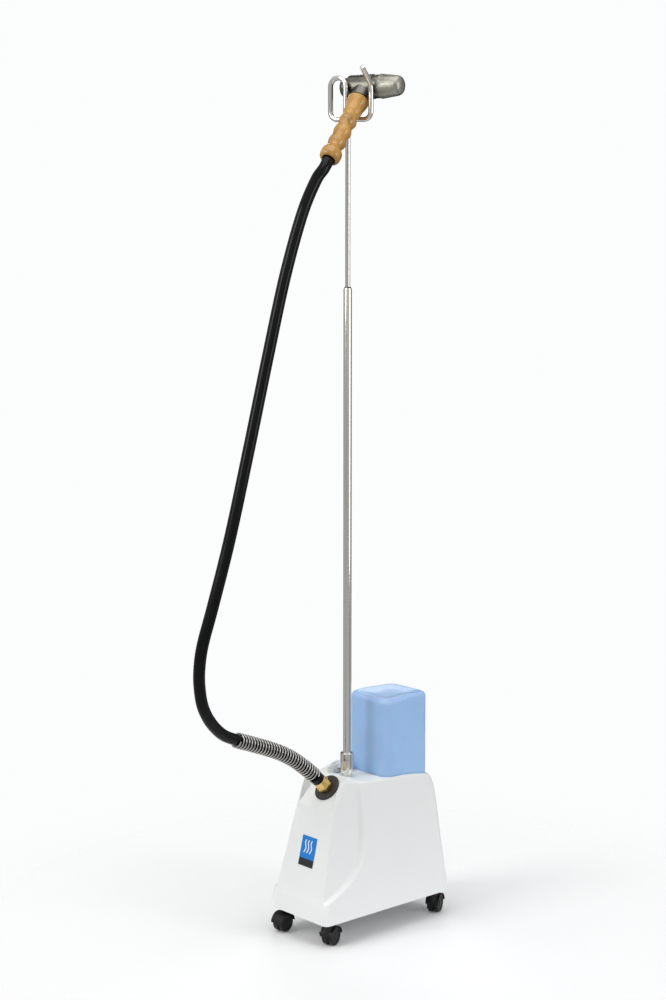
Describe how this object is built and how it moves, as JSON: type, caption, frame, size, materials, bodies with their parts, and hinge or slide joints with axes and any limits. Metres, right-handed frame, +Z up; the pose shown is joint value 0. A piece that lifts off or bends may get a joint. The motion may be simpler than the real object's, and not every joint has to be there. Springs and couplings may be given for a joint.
{
  "type": "garment steamer",
  "caption": "Upright garment steamer with wheeled base, inverted water bottle, telescoping pole, wire hook, and a steam head hung on it by a black hose with a spring guard.",
  "frame": {"origin": "on the floor, under the centre of the bounding box without the hose", "axes": "+Z up along the pole; -Y is the front, where the hose leaves the base; +X is the side the steam head points to"},
  "size_m": [0.1784, 0.6039, 1.6645],
  "materials": {
    "housing_white": "satin",
    "black_plastic": "satin",
    "grey_plastic": "matte",
    "bottle_blue": "translucent",
    "handle_amber": "satin",
    "cast_aluminium": "cast",
    "nickel": "polished",
    "brass": "machined",
    "steel": "brushed",
    "rubber_black": "semi-gloss",
    "label_blue": "printed film",
    "switch_white": "gloss"
  },
  "bodies": {
    "base": {"housing": "housing_white", "base_plate": "steel", "base_screw_front": "steel", "base_screw_rear": "steel", "boiler_tank": "cast_aluminium", "boiler_gasket": "rubber_black", "boiler_lid": "cast_aluminium", "heating_element": "steel", "thermostat": "grey_plastic", "steam_pipe": "brass", "feed_pipe": "grey_plastic", "outlet_flange": "rubber_black", "outlet_nut": "brass", "hose_cuff": "rubber_black", "water_well": "grey_plastic", "pole_socket": "nickel", "socket_screw": "steel", "pole_bracket": "steel", "lower_pole": "nickel", "pole_bushing": "black_plastic", "hose_lower": "rubber_black", "spring_guard": "nickel", "switch_frame": "housing_white", "cord_gland": "black_plastic", "label_plate": "label_blue"},
    "upper_rod": {"hook_rod": "nickel", "rod_glide": "black_plastic"},
    "handset": {"head_end_cap": "cast_aluminium", "head_seal": "rubber_black", "head_body": "cast_aluminium", "head_collar": "cast_aluminium", "steam_nozzle": "cast_aluminium", "handle": "handle_amber", "handle_tube": "brass", "hose_upper": "rubber_black"},
    "bottle_unit": {"bottle": "bottle_blue", "bottle_cap": "black_plastic", "cap_gasket": "rubber_black"},
    "valve": {"cap_valve": "brass"},
    "rocker": {"switch_rocker": "switch_white"},
    "caster_1": {"caster_hood_1": "black_plastic", "caster_stem_1": "steel"},
    "wheels_1": {"caster_axle_1": "steel", "wheel_left_1": "black_plastic", "wheel_right_1": "black_plastic"},
    "caster_2": {"caster_hood_2": "black_plastic", "caster_stem_2": "steel"},
    "wheels_2": {"caster_axle_2": "steel", "wheel_left_2": "black_plastic", "wheel_right_2": "black_plastic"},
    "caster_3": {"caster_hood_3": "black_plastic", "caster_stem_3": "steel"},
    "wheels_3": {"caster_axle_3": "steel", "wheel_left_3": "black_plastic", "wheel_right_3": "black_plastic"},
    "caster_4": {"caster_hood_4": "black_plastic", "caster_stem_4": "steel"},
    "wheels_4": {"caster_axle_4": "steel", "wheel_left_4": "black_plastic", "wheel_right_4": "black_plastic"}
  },
  "joints": [
    {"name": "rod_slide", "type": "slide", "parent": "base", "child": "upper_rod", "axis": [0, 0, 1], "range_m": [-0.25, 0.05], "deforming": ["hose_lower"]},
    {"name": "handset_lift", "type": "slide", "parent": "upper_rod", "child": "handset", "axis": [0, 0, 1], "range_m": [0, 0.08], "deforming": ["hose_upper"]},
    {"name": "bottle_lift", "type": "slide", "parent": "base", "child": "bottle_unit", "axis": [0, 0, 1], "range_m": [0, 0.12]},
    {"name": "valve_close", "type": "slide", "parent": "bottle_unit", "child": "valve", "axis": [0, 0, 1], "range_m": [-0.0036, 0.0001]},
    {"name": "switch_turn", "type": "hinge", "parent": "base", "child": "rocker", "pos_m": [-0.0463, -0.03204, 0.31952], "axis": [-0.866, 0, -0.5], "range_deg": [0, 16]},
    {"name": "caster_swivel_1", "type": "hinge", "parent": "base", "child": "caster_1", "pos_m": [-0.0665, -0.14, 0.0487], "axis": [0, 0, 1], "continuous": true},
    {"name": "wheel_roll_1", "type": "hinge", "parent": "caster_1", "child": "wheels_1", "pos_m": [-0.06459, -0.15083, 0.018], "axis": [0.9848, 0.1736, 0], "continuous": true},
    {"name": "caster_swivel_2", "type": "hinge", "parent": "base", "child": "caster_2", "pos_m": [0.0575, -0.14, 0.0487], "axis": [0, 0, 1], "continuous": true},
    {"name": "wheel_roll_2", "type": "hinge", "parent": "caster_2", "child": "wheels_2", "pos_m": [0.05374, -0.12966, 0.018], "axis": [-0.9397, -0.342, 0], "continuous": true},
    {"name": "caster_swivel_3", "type": "hinge", "parent": "base", "child": "caster_3", "pos_m": [0.0575, 0.14, 0.0487], "axis": [0, 0, 1], "continuous": true},
    {"name": "wheel_roll_3", "type": "hinge", "parent": "caster_3", "child": "wheels_3", "pos_m": [0.05251, 0.1498, 0.018], "axis": [-0.891, -0.454, 0], "continuous": true},
    {"name": "caster_swivel_4", "type": "hinge", "parent": "base", "child": "caster_4", "pos_m": [-0.0665, 0.14, 0.0487], "axis": [0, 0, 1], "continuous": true},
    {"name": "wheel_roll_4", "type": "hinge", "parent": "caster_4", "child": "wheels_4", "pos_m": [-0.061, 0.13047, 0.018], "axis": [0.866, 0.5, 0], "continuous": true}
  ],
  "couplings": [
    {"joint": "valve_close", "follows": "bottle_lift", "ratio": -0.029}
  ]
}
